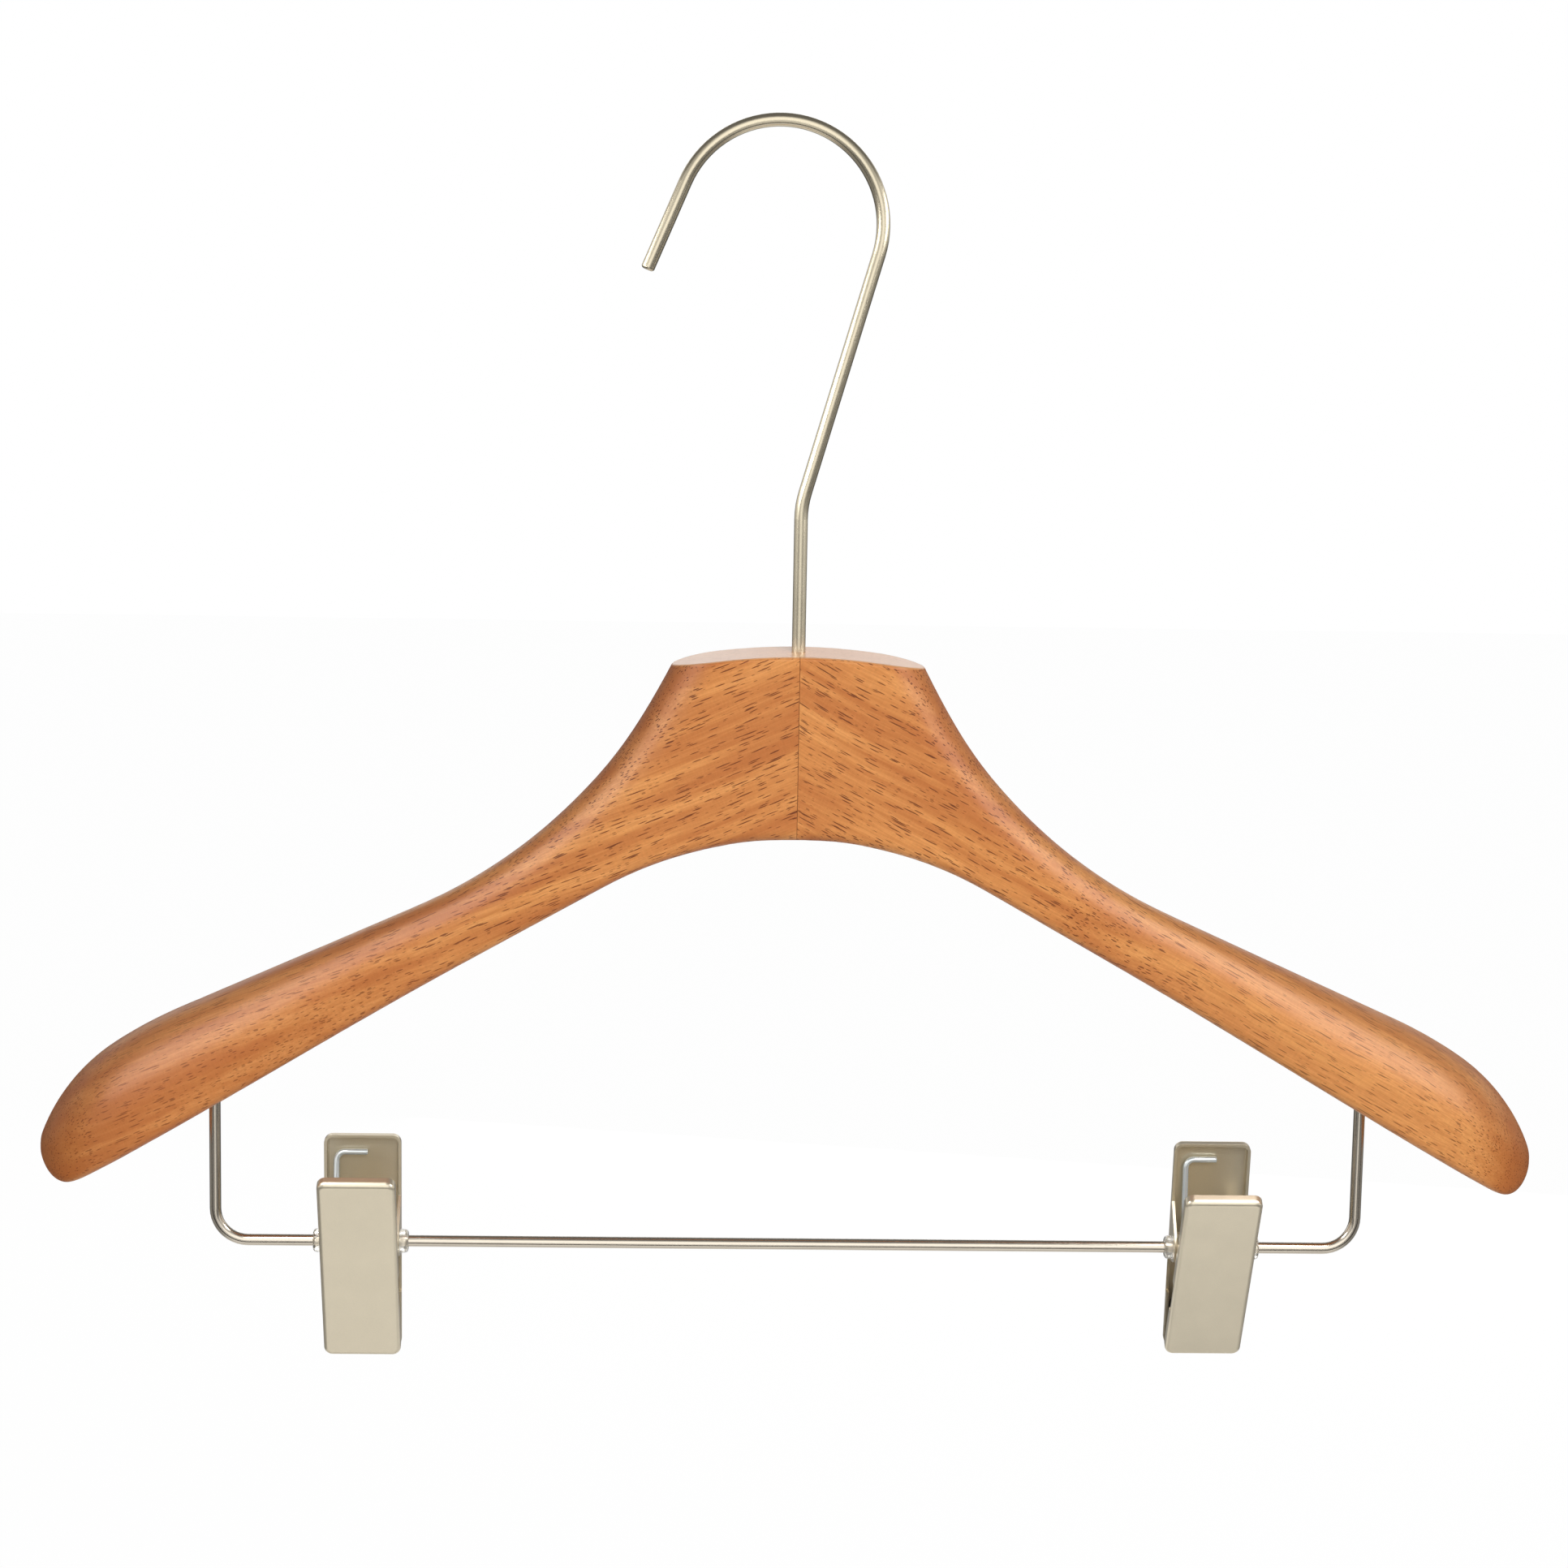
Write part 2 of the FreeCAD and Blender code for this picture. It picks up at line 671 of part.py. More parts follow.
def facing_rear(shape):
    turned = facing_front(shape)
    turned.rotate(origin, z_axis, 180)
    return turned


def make_clip(side, swing):
    x = side * clip_spacing / 2
    outward = make_bush()
    inward = outward.copy()
    if side > 0:
        inward.rotate(origin, z_axis, 180)
    else:
        outward.rotate(origin, z_axis, 180)
    pieces = {
        "front_plate": facing_front(make_plate(True)),
        "rear_plate": facing_rear(make_plate(False)),
        "front_pad": facing_front(make_pad()),
        "rear_pad": facing_rear(make_pad()),
        "spring": make_spring(),
        "outer_bush": outward,
        "inner_bush": inward,
    }
    return {name: place_on_bar(shape, swing, x) for name, shape in pieces.items()}


def make_parts():
    blank = arm_blank()
    parts = {
        "hook": make_hook(),
        "left_arm": make_arm(blank, -1),
        "right_arm": make_arm(blank, 1),
        "clip_bar": make_clip_bar(),
    }
    for name, side, swing in (("left", -1, left_clip_swing), ("right", 1, right_clip_swing)):
        for piece, shape in make_clip(side, swing).items():
            parts[name + "_clip_" + piece] = shape
    return parts


os.makedirs("parts", exist_ok=True)
for part_name, part_shape in make_parts().items():
    part_shape.exportStep("parts/" + part_name + ".step")
    size = part_shape.BoundBox
    print(
        part_name, "valid" if part_shape.isValid() else "NOT VALID", len(part_shape.Solids), "solid",
        "volume %.1f" % part_shape.Volume,
        "box %.1f %.1f %.1f to %.1f %.1f %.1f" % (
            size.XMin, size.YMin, size.ZMin, size.XMax, size.YMax, size.ZMax
        ),
    )
print("least gap of a spring to itself %.2f" % spring_self_gap())
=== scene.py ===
import json
import math

import bmesh
import bpy
from mathutils import Matrix, Vector


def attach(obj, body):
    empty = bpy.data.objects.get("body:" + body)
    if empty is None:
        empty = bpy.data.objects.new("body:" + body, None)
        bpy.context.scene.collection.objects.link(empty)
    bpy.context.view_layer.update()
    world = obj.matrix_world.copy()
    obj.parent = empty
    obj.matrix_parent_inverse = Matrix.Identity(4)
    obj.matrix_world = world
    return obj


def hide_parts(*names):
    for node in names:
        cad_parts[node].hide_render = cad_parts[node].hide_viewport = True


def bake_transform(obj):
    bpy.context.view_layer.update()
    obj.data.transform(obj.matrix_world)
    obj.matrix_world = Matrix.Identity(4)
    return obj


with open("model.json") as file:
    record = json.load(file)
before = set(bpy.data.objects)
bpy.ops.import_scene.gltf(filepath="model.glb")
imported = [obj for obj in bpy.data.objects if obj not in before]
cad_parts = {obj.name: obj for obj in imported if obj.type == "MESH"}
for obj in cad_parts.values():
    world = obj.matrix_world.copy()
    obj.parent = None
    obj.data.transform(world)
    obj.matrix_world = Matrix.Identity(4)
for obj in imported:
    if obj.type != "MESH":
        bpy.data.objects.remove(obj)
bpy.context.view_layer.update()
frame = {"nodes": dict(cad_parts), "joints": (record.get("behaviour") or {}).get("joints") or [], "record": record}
nodes = frame["nodes"]
mm = 0.001  # in metres, the frame's unit
print("frame loaded:", len(nodes), "solids")


def called(things, name):  # the joint or mount of that name
    return next(thing for thing in things if thing["name"] == name)


# A number in a node tree that can be added, multiplied and so on
class Value:
    def __init__(self, tree, socket):
        self.tree = tree
        self.socket = socket

    def math(self, operation, *numbers):
        return self.tree.node("ShaderNodeMath", {"operation": operation}, dict(enumerate(numbers)))

    def __add__(self, other):
        return self.math("ADD", self, other)

    def __radd__(self, other):
        return self.math("ADD", other, self)

    def __sub__(self, other):
        return self.math("SUBTRACT", self, other)

    def __rsub__(self, other):
        return self.math("SUBTRACT", other, self)

    def __mul__(self, other):
        return self.math("MULTIPLY", self, other)

    def __rmul__(self, other):
        return self.math("MULTIPLY", other, self)

    def __abs__(self):
        return self.math("ABSOLUTE", self)

    def orMore(self, other):
        return self.math("MAXIMUM", self, other)

    def ramp(self, low, high, atLow=0.0, atHigh=1.0):  # smooth passage between two values
        settings = {"interpolation_type": "SMOOTHSTEP"}
        inputs = {0: self, 1: low, 2: high, 3: atLow, 4: atHigh}
        return self.tree.node("ShaderNodeMapRange", settings, inputs)

    def fade(self, low, high, atHigh=0.0):  # the same from 1 downwards
        return self.ramp(low, high, 1.0, atHigh)


# A node tree, for a material or for the world
class Tree:
    def __init__(self, owner, output):
        owner.use_nodes = True
        self.owner = owner
        self.nodes = owner.node_tree.nodes
        self.links = owner.node_tree.links
        self.nodes.clear()
        self.output = self.nodes.new(output)

    def node(self, kind, settings, inputs, out=0):
        made = self.nodes.new(kind)
        for name, setting in settings.items():
            setattr(made, name, setting)
        for name, given in inputs.items():
            if isinstance(given, Value):
                self.links.new(given.socket, made.inputs[name])
            else:
                made.inputs[name].default_value = given
        return Value(self, made.outputs[out])

    def finish(self, shader):
        self.links.new(shader.socket, self.output.inputs["Surface"])
        return self.owner

    def ray(self, kind):  # 1 on rays of that kind, such as Camera or Glossy
        return self.node("ShaderNodeLightPath", {}, {}, "Is %s Ray" % kind)

    def place(self):  # the point on the object, in millimetres
        spot = self.node("ShaderNodeTexCoord", {}, {}, "Object")
        return self.node("ShaderNodeVectorMath", {"operation": "SCALE"}, {0: spot, "Scale": 1 / mm})

    def axis(self, spot, number):
        return self.node("ShaderNodeSeparateXYZ", {}, {0: spot}, number)

    def stretch(self, spot, lengths):  # a vector divided by a length for each axis
        shares = [1 / length for length in lengths]
        return self.node("ShaderNodeVectorMath", {"operation": "MULTIPLY"}, {0: spot, 1: shares})

    def noise(self, spot, lengths, detail=2.0, roughness=0.5):
        inputs = {"Vector": self.stretch(spot, lengths), "Scale": 1.0}
        inputs |= {"Detail": detail, "Roughness": roughness}
        return self.node("ShaderNodeTexNoise", {}, inputs)

    def mix(self, share, first, second):
        return self.node("ShaderNodeMix", {"data_type": "RGBA"}, {0: share, 6: first, 7: second}, 2)

    def shade(self, colour, share):  # a colour times a number
        settings = {"data_type": "RGBA", "blend_type": "MULTIPLY"}
        return self.node("ShaderNodeMix", settings, {0: 1.0, 6: colour, 7: share}, 2)

    def bump(self, height, strength, depth, **inputs):
        inputs |= {"Height": height, "Strength": strength, "Distance": depth * mm}
        return self.node("ShaderNodeBump", {}, inputs)

    def surface(self, **inputs):
        named = {name.replace("_", " "): given for name, given in inputs.items()}
        return self.finish(self.node("ShaderNodeBsdfPrincipled", {}, named))


def newMaterial(name):
    return Tree(bpy.data.materials.new(name), "ShaderNodeOutputMaterial")


def dress(piece, material):
    piece.data.materials.clear()
    piece.data.materials.append(material)


def srgb(red, green, blue):  # a colour as a screen shows it, made linear
    linear = []
    for part in (red / 255, green / 255, blue / 255):
        linear.append(part / 12.92 if part <= 0.04045 else ((part + 0.055) / 1.055) ** 2.4)
    return (*linear, 1.0)


def addPiece(name, bm):
    mesh = bpy.data.meshes.new(name)
    bm.to_mesh(mesh)
    bm.free()
    piece = bpy.data.objects.new(name, mesh)
    bpy.context.scene.collection.objects.link(piece)
    return piece


# Camera: level with the top of the hook, looking a little down at the hanger
camera = {
    "target": (-3.14, 0.0, -166.97),   # in millimetres, as is the distance
    "distance": 1000.0,
    "yaw": 2.03,                       # in degrees, as are pitch and roll
    "pitch": 9.43,
    "roll": 1.04,
    "focal": 4755.0,                   # in pixels of the picture
    "picture": 1932.0,
    "sensor": 36.0,
    "clip": (0.01, 100.0),             # nearest and farthest that it sees, in metres
}


def makeCamera():
    yaw, pitch, roll = (math.radians(camera[name]) for name in ("yaw", "pitch", "roll"))
    level = math.cos(pitch)
    forward = Vector((math.sin(yaw) * level, math.cos(yaw) * level, -math.sin(pitch)))
    right = Vector((math.cos(yaw), -math.sin(yaw), 0))
    up = right.cross(forward)
    tilted = right * math.cos(roll) + up * math.sin(roll)
    upright = up * math.cos(roll) - right * math.sin(roll)
    data = bpy.data.cameras.new("camera")
    data.sensor_width = camera["sensor"]
    data.lens = camera["focal"] / camera["picture"] * camera["sensor"]
    data.clip_start, data.clip_end = camera["clip"]
    thing = bpy.data.objects.new("camera", data)
    thing.matrix_world = Matrix((tilted, upright, -forward)).transposed().to_4x4()
    thing.location = (Vector(camera["target"]) - forward * camera["distance"]) * mm
    bpy.context.scene.collection.objects.link(thing)
    bpy.context.scene.camera = thing
    print("camera placed")


# Room: white to the camera, and softer on matt surfaces. What gloss shows of it depends on the direction,
# whose parts sideways, away and up run from -1 to 1
room = {
    "sides": 0.36,                     # light on matt surfaces from the sides
    "above": 0.07,                     # and from above
    "aboveFrom": (0.1, 0.9),
    "dark": 0.18,                      # gloss: the unlit room
    "front": 1.4,                      # gloss: the light beside the camera
    "frontSides": (0.2, 0.6),          # where it fades to the sides, upwards and towards the back
    "frontTop": (0.5, 0.88),
    "frontBack": (-0.4, -0.1),
    "frontSidesShare": 0.2,            # what is left of it at the sides
    "walls": 0.6,                      # gloss: white walls left and right
    "wallsFrom": (0.6, 0.85),
    "wallsTop": (0.2, 0.5),
    "backdrop": 1.65,                  # gloss: a low backdrop
    "backdropFrom": (0.2, 0.7),
    "backdropFoot": (0.02, 0.14),
    "backdropTop": (0.25, 0.5),
    "backdropSides": (0.15, 0.45),
    "backdropSidesShare": 0.25,        # what is left of it at the sides
}


def makeRoom():
    scene = bpy.context.scene
    scene.view_settings.view_transform = "Standard"
    scene.world = bpy.data.worlds.new("studio")
    tree = Tree(scene.world, "ShaderNodeOutputWorld")
    way = tree.node("ShaderNodeTexCoord", {}, {}, "Generated")
    shine = tree.ray("Glossy")
    seen = tree.ray("Camera").orMore(tree.ray("Transmission"))
    matt = (1 - seen) * (1 - shine)
    side, depth, height = (tree.axis(way, number) for number in range(3))
    front = abs(side).fade(*room["frontSides"], room["frontSidesShare"])
    front *= height.fade(*room["frontTop"])
    front *= depth.fade(*room["frontBack"])
    walls = abs(side).ramp(*room["wallsFrom"]) * abs(height).fade(*room["wallsTop"])
    backdrop = depth.ramp(*room["backdropFrom"])
    backdrop *= height.ramp(*room["backdropFoot"]) * height.fade(*room["backdropTop"])
    backdrop *= abs(side).fade(*room["backdropSides"], room["backdropSidesShare"])
    mirrored = room["dark"] + front * room["front"] + walls * room["walls"]
    mirrored += backdrop * room["backdrop"]
    soft = height.ramp(*room["aboveFrom"], room["sides"], room["above"])
    strength = seen + shine * mirrored + matt * soft
    tree.finish(tree.node("ShaderNodeBackground", {}, {"Color": (1, 1, 1, 1), "Strength": strength}))
    print("room done")


# Lamps, in metres: large soft ones that gloss doesn't show, and two strips over the arms for gloss alone
hangerMiddle = (0, 0, -0.2)
lamps = {
    "key": {"at": (0.3, -1.0, 0.45), "to": hangerMiddle, "size": (0.7, 0.7), "power": 11.5},
    "fill": {"at": (-1.0, -1.5, 0.1), "to": hangerMiddle, "size": (1, 1), "power": 4.2},
    "rear": {"at": (0.3, 1.3, -0.2), "to": hangerMiddle, "size": (1, 1), "power": 11.0},
}
strips = {
    "leftStrip": {
        "at": (-0.29, -0.1, -0.02), "to": (-0.29, -0.02, -0.25), "size": (0.3, 0.26), "power": 1.3,
    },
    "rightStrip": {
        "at": (0.29, -0.1, -0.02), "to": (0.29, -0.02, -0.25), "size": (0.3, 0.26), "power": 1.45,
    },
}


def makeLamp(name, lamp, inGloss):
    data = bpy.data.lights.new(name, "AREA")
    data.shape = "RECTANGLE"
    data.size, data.size_y = lamp["size"]
    data.energy = lamp["power"]
    thing = bpy.data.objects.new(name, data)
    thing.visible_camera = False
    thing.visible_glossy = inGloss
    thing.visible_diffuse = not inGloss
    thing.location = lamp["at"]
    look = Vector(lamp["to"]) - Vector(lamp["at"])
    thing.rotation_euler = look.to_track_quat("-Z", "Y").to_euler()
    bpy.context.scene.collection.objects.link(thing)


# Floor: plain and pale. What gloss shows of it is painted light, glowing brighter or darker by the place, in
# millimetres from the hanger
ground = {
    "height": -0.62,                   # in metres, as is the size
    "size": 8.0,
    "colour": srgb(240, 239, 236),
    "roughness": 0.9,
    "white": 0.985,                    # share of plain white that the camera sees
    "shine": 0.95,                     # gloss: the floor around the hanger
    "under": 0.4,                      # gloss: painted shadow right below the hanger, how much less it shows there
    "underReach": (20, 110),
    "band": 0.9,                       # and in a dark band in front
    "bandFrom": (-800, -650),
    "bandTo": (-420, -300),
    "far": 1.2,                        # gloss: the floor far in front, in the middle
    "farSides": 0.4,                   # and beside it
    "farFrom": (-1500, -900),
    "farWidth": (100, 220),
    "behindShare": 0.35,               # what is left far behind
    "behindFrom": (300, 800),
    "sidesShare": 0.35,                # and far to the sides
    "sidesFrom": (250, 450),
}


def makeFloor():
    bm = bmesh.new()
    bmesh.ops.create_grid(bm, x_segments=1, y_segments=1, size=ground["size"] / 2)
    bmesh.ops.translate(bm, verts=bm.verts, vec=(0, 0, ground["height"]))
    floor = addPiece("floor", bm)
    tree = newMaterial("floorPaint")
    inputs = {"Base Color": ground["colour"], "Roughness": ground["roughness"]}
    paint = tree.node("ShaderNodeBsdfPrincipled", {}, inputs)
    spot = tree.place()
    aside, depth = abs(tree.axis(spot, 0)), tree.axis(spot, 1)
    far = aside.ramp(*ground["farWidth"], ground["far"], ground["farSides"])
    level = depth.ramp(*ground["farFrom"], far, ground["shine"])
    level *= depth.fade(*ground["behindFrom"], ground["behindShare"])
    level -= depth.ramp(*ground["bandFrom"]) * depth.fade(*ground["bandTo"]) * ground["band"]
    # painted shadow: in gloss the floor shows darker right below the hanger
    level -= abs(depth).ramp(*ground["underReach"], ground["under"], 0.0)
    level *= aside.fade(*ground["sidesFrom"], ground["sidesShare"])
    shine = tree.ray("Glossy")
    seen = tree.ray("Camera").orMore(tree.ray("Transmission"))
    tone = tree.shade((1, 1, 1, 1), seen + shine * level)
    white = tree.node("ShaderNodeEmission", {}, {"Color": tone, "Strength": 1.0})
    share = seen * ground["white"] + shine
    dress(floor, tree.finish(tree.node("ShaderNodeMixShader", {}, {0: share, 1: paint, 2: white})))
    print("floor done")


makeCamera()
makeRoom()
for name, lamp in lamps.items():
    makeLamp(name, lamp, False)
for name, lamp in strips.items():
    makeLamp(name, lamp, True)
print("lamps done:", len(lamps) + len(strips))
makeFloor()

# Wood: lengths in millimetres, those in threes along the grain, through the thickness and across it
wood = {
    "base": srgb(219, 148, 82),
    "pale": srgb(232, 166, 101),
    "dark": srgb(180, 103, 51),
    "pore": srgb(98, 42, 15),
    "sanded": srgb(252, 194, 142),     # the crown of the neck, painted paler as a painted sheen for the light and reflection on its top
    "sway": (60, 40, 20),              # slow bends of the grain
    "swayReach": 4.0,
    "swell": 70.0,                     # from here on the arms get thicker
    "bands": (90, 7, 4.5),             # growth bands
    "baseFrom": (0.35, 0.62),          # where in a band the dark colour turns into the base,
    "baseLeast": 0.2,
    "paleFrom": (0.5, 0.72),           # and the base into the pale one
    "paleShare": 0.6,
    "fibres": (14, 0.5, 0.4),
    "fibresFrom": (0.36, 0.62),
    "fibreShare": 0.4,
    "rays": (0.5, 1.6, 1.6),           # faint marks across the grain
    "rayShade": 0.2,
    "outerFrom": (60, 130),            # from the middle: where the painted light on the outer part of a board begins,
    "tipFrom": (165, 192),             # and its tip
    "tipShare": 0.3,                   # what is left of that painted light at the tip,
    "edgeFrom": (0.3, 0.85),           # and on surfaces that turn away from the front and the back
    "edgeShare": 0.4,
    "endGrainFrom": (0.1, 0.65),       # how squarely a surface cuts the grain when it looks dark
    "endGrainShare": 0.8,
    "crownRadius": 157.0,
    "crownEdge": (-0.4, -0.05),        # height from the crown's face
    "crownSheenShare": 0.65,
    "seam": 0.14,                      # half width of the dark glue line, and of its full middle
    "seamCore": 0.056,
    "seamShare": 0.3,
    "roughness": 0.42,
    "fibreRoughness": 0.1,
    "poreRoughness": 0.2,
    "specular": 0.15,
    "lacquer": 0.35,                   # coat on the boards,
    "lacquerDrunk": 0.04,              # on end grain, which drinks it,
    "drinksFrom": (0.15, 0.5),
    "lacquerCrown": 0.55,              # and what the crown gets on top
    "lacquerRoughness": 0.3,
    "fibreRelief": 0.2,
    "relief": 0.3,
    "poreDepth": 0.08,
}
# Open pores: the cell that may hold one, its size there, how rare it is and how plainly it shows
vessels = [
    {"cell": (11.0, 0.58, 0.58), "size": 0.27, "rare": 0.36, "shows": 1.0},
    {"cell": (6.0, 0.52, 0.52), "size": 0.26, "rare": 0.48, "shows": 1.0},
    {"cell": (2.2, 0.36, 0.36), "size": 0.3, "rare": 0.76, "shows": 0.7},
]
pores = {
    "ribbon": (30, 9, 6),              # where pores gather, and how much
    "gather": 0.5,
    "doubt": 0.1,                      # passage between a cell with a pore and one without
    "none": -0.1,
    "edge": (-0.06, 0.02),
    "share": 0.9,
}
# Each arm's board: rise of its grain along the arm, angle at which the grain crosses the neck's front, how
# far it follows the front towards the tip, and for its outer part a painted light colour (darker on the left
# arm and paler on the right, as light falls), that colour's share and how much fainter the pores get
boards = {
    "left_arm": {
        "rise": 23.0, "crossing": 2.0, "follow": 0.0, "seed": (0, 0, 0),
        "outer": srgb(180, 103, 51), "share": 0.3, "plainer": 0.3,
    },
    "right_arm": {
        "rise": -28.0, "crossing": 2.0, "follow": 0.15, "seed": (310, 40, 75),
        "outer": srgb(221, 153, 88), "share": 0.75, "plainer": 0.25,
    },
}


def grainOf(tree, spot, board):  # the point along, through and across the board's bent grain
    turn = (0, math.radians(board["rise"]), math.radians(board["crossing"]))
    inputs = {"Vector": spot, "Rotation": turn, "Location": board["seed"]}
    turned = tree.node("ShaderNodeMapping", {}, inputs)
    sway = tree.noise(turned, wood["sway"]) - 0.5
    follow = (abs(tree.axis(spot, 0)) - wood["swell"]).orMore(0.0) * board["follow"]
    bend = tree.node("ShaderNodeCombineXYZ", {}, {1: follow, 2: sway * wood["swayReach"]})
    return tree.node("ShaderNodeVectorMath", {"operation": "ADD"}, {0: turned, 1: bend})


def endGrainOf(tree, facing, board):  # 1 where the surface cuts straight across the grain
    rise, crossing = math.radians(board["rise"]), math.radians(board["crossing"])
    level = math.cos(crossing)
    along = (math.cos(rise) * level, -math.sin(crossing), math.sin(rise) * level)
    settings = {"operation": "DOT_PRODUCT"}
    return abs(tree.node("ShaderNodeVectorMath", settings, {0: facing, 1: along}, "Value"))


def poreMask(tree, grain, vessel, plenty):
    cells = {"Vector": tree.stretch(grain, vessel["cell"]), "Scale": 1.0, "Randomness": 1.0}
    near = tree.node("ShaderNodeTexVoronoi", {}, cells, "Distance")
    tint = tree.node("ShaderNodeTexVoronoi", {}, cells, "Color")
    chance = tree.node("ShaderNodeSeparateColor", {}, {0: tint}, 0) + plenty
    low, high = vessel["rare"] - pores["doubt"], vessel["rare"] + pores["doubt"]
    reach = chance.ramp(low, high, pores["none"], vessel["size"])
    return (near - reach).fade(*pores["edge"]) * vessel["shows"]


def poresOf(tree, grain):
    plenty = (tree.noise(grain, pores["ribbon"]) - 0.5) * pores["gather"]
    long, short, dots = (poreMask(tree, grain, vessel, plenty) for vessel in vessels)
    return long.orMore(short).orMore(dots)


def crownOf(tree, spot, across):  # 1 on the domed top of the neck
    neckTop = called(frame["joints"], "hook_swivel")["pos_m"][2] / mm
    drop = across * across * (0.5 / wood["crownRadius"])  # of a flat arc, away from its middle
    return (tree.axis(spot, 2) - neckTop + drop).ramp(*wood["crownEdge"])


def woodMaterial(name, board):
    tree = newMaterial(name)
    spot = tree.place()
    facing = tree.node("ShaderNodeTexCoord", {}, {}, "Normal")
    across = tree.axis(spot, 0)
    grain = grainOf(tree, spot, board)
    bands = tree.noise(grain, wood["bands"], detail=3.0)
    fibres = tree.noise(grain, wood["fibres"], detail=3.0, roughness=0.65)
    rays = tree.noise(grain, wood["rays"]) - 0.5
    holes = poresOf(tree, grain)
    endGrain = endGrainOf(tree, facing, board)
    crown = crownOf(tree, spot, across)
    colour = tree.mix(bands.ramp(*wood["baseFrom"]), wood["dark"], wood["base"])
    colour = tree.mix(wood["baseLeast"], colour, wood["base"])
    colour = tree.mix(bands.ramp(*wood["paleFrom"]) * wood["paleShare"], colour, wood["pale"])
    # painted light: each board's outer part is tinted darker on the left arm and paler on the right, as light
    # falls, mostly on its front and back faces
    outer = abs(across).ramp(*wood["outerFrom"])
    share = abs(across).ramp(*wood["tipFrom"], board["share"], board["share"] * wood["tipShare"])
    share *= abs(tree.axis(facing, 1)).ramp(*wood["edgeFrom"], wood["edgeShare"], 1.0)
    colour = tree.mix(outer * share, colour, board["outer"])
    colour = tree.mix(fibres.ramp(*wood["fibresFrom"]) * wood["fibreShare"], colour, wood["dark"])
    colour = tree.shade(colour, 1 + rays * wood["rayShade"])
    shadow = endGrain.ramp(*wood["endGrainFrom"]) * wood["endGrainShare"]
    colour = tree.mix(shadow, colour, wood["dark"])
    colour = tree.mix(holes * (pores["share"] - outer * board["plainer"]), colour, wood["pore"])
    # painted sheen: the neck's crown is painted paler in place of the light and reflection on its top
    colour = tree.mix(crown * wood["crownSheenShare"], colour, wood["sanded"])
    seam = abs(across).fade(wood["seamCore"], wood["seam"])
    colour = tree.mix(seam * wood["seamShare"], colour, wood["pore"])
    rough = wood["roughness"] + fibres * wood["fibreRoughness"] + holes * wood["poreRoughness"]
    lacquer = endGrain.ramp(*wood["drinksFrom"], wood["lacquer"], wood["lacquerDrunk"])
    lacquer += crown * wood["lacquerCrown"]
    relief = tree.bump(fibres * wood["fibreRelief"] - holes, wood["relief"], wood["poreDepth"])
    return tree.surface(
        Base_Color=colour, Roughness=rough, Specular_IOR_Level=wood["specular"], Coat_Weight=lacquer,
        Coat_Roughness=wood["lacquerRoughness"], Normal=relief)


for name, board in boards.items():
    dress(nodes[name], woodMaterial(name + "Wood", board))
print("wood done")

# Plated steel: a satin champagne nickel, grained on the pressed plates and drawn smooth on the wires
plating = {
    "hook": {"colour": srgb(214, 203, 178), "metal": 1.0, "roughness": 0.27, "grained": False},
    "bar": {"colour": srgb(214, 204, 188), "metal": 1.0, "roughness": 0.2, "grained": False},
    "clip": {"colour": srgb(222, 211, 187), "metal": 0.8, "roughness": 0.3, "grained": True},
    "spring": {"colour": srgb(226, 232, 233), "metal": 0.6, "roughness": 0.18, "grained": False},
}
satin = {
    "clouds": (9, 9, 9),               # soft patches in the plating
    "cloudShade": 0.12,
    "cloudRoughness": 0.06,
    "grit": (0.2, 0.2, 0.2),           # grain of the pressed plates
    "gritShade": 0.12,
    "gritRelief": 0.08,
    "gritDepth": 0.04,
    "wornEdge": 0.12,                  # radius of their worn edges
    "wornSamples": 6,
}


def steelMaterial(name, look):
    tree = newMaterial(name)
    spot = tree.place()
    cloud = tree.noise(spot, satin["clouds"], detail=3.0) - 0.5
    tone = 1 + cloud * satin["cloudShade"]
    rough = look["roughness"] + cloud * satin["cloudRoughness"]
    relief = {}
    if look["grained"]:
        grit = tree.noise(spot, satin["grit"]) - 0.5
        tone += grit * satin["gritShade"]
        settings = {"samples": satin["wornSamples"]}
        worn = tree.node("ShaderNodeBevel", settings, {"Radius": satin["wornEdge"] * mm})
        relief["Normal"] = tree.bump(grit, satin["gritRelief"], satin["gritDepth"], Normal=worn)
    colour = tree.shade(look["colour"], tone)
    return tree.surface(Base_Color=colour, Metallic=look["metal"], Roughness=rough, **relief)


steel = {kind: steelMaterial(kind + "Steel", look) for kind, look in plating.items()}
dress(nodes["hook"], steel["hook"])
dress(nodes["clip_bar"], steel["bar"])
for name, node in nodes.items():
    if name.endswith("_plate"):
        dress(node, steel["clip"])
print("steel done")

# Clear bushes, slightly rippled as moulded plastic is
bush = {
    "colour": srgb(243, 241, 235),
    "roughness": 0.12,
    "ior": 1.47,
    "clear": 0.85,
    "ripple": (0.9, 0.9, 0.9),
    "rippleDark": 0.92,
    "rippleShade": 0.1,
    "rippleRoughness": 0.1,
    "rippleRelief": 0.35,
    "rippleDepth": 0.2,
}


def clearMaterial():
    tree = newMaterial("clearPlastic")
    ripple = tree.noise(tree.place(), bush["ripple"])
    return tree.surface(
        Base_Color=tree.shade(bush["colour"], bush["rippleDark"] + ripple * bush["rippleShade"]),
        Roughness=bush["roughness"] + ripple * bush["rippleRoughness"],
        IOR=bush["ior"], Transmission_Weight=bush["clear"],
        Normal=tree.bump(ripple, bush["rippleRelief"], bush["rippleDepth"]))


clear = clearMaterial()
for name, node in nodes.items():
    if name.endswith("_bush"):
        dress(node, clear)
print("bushes done")

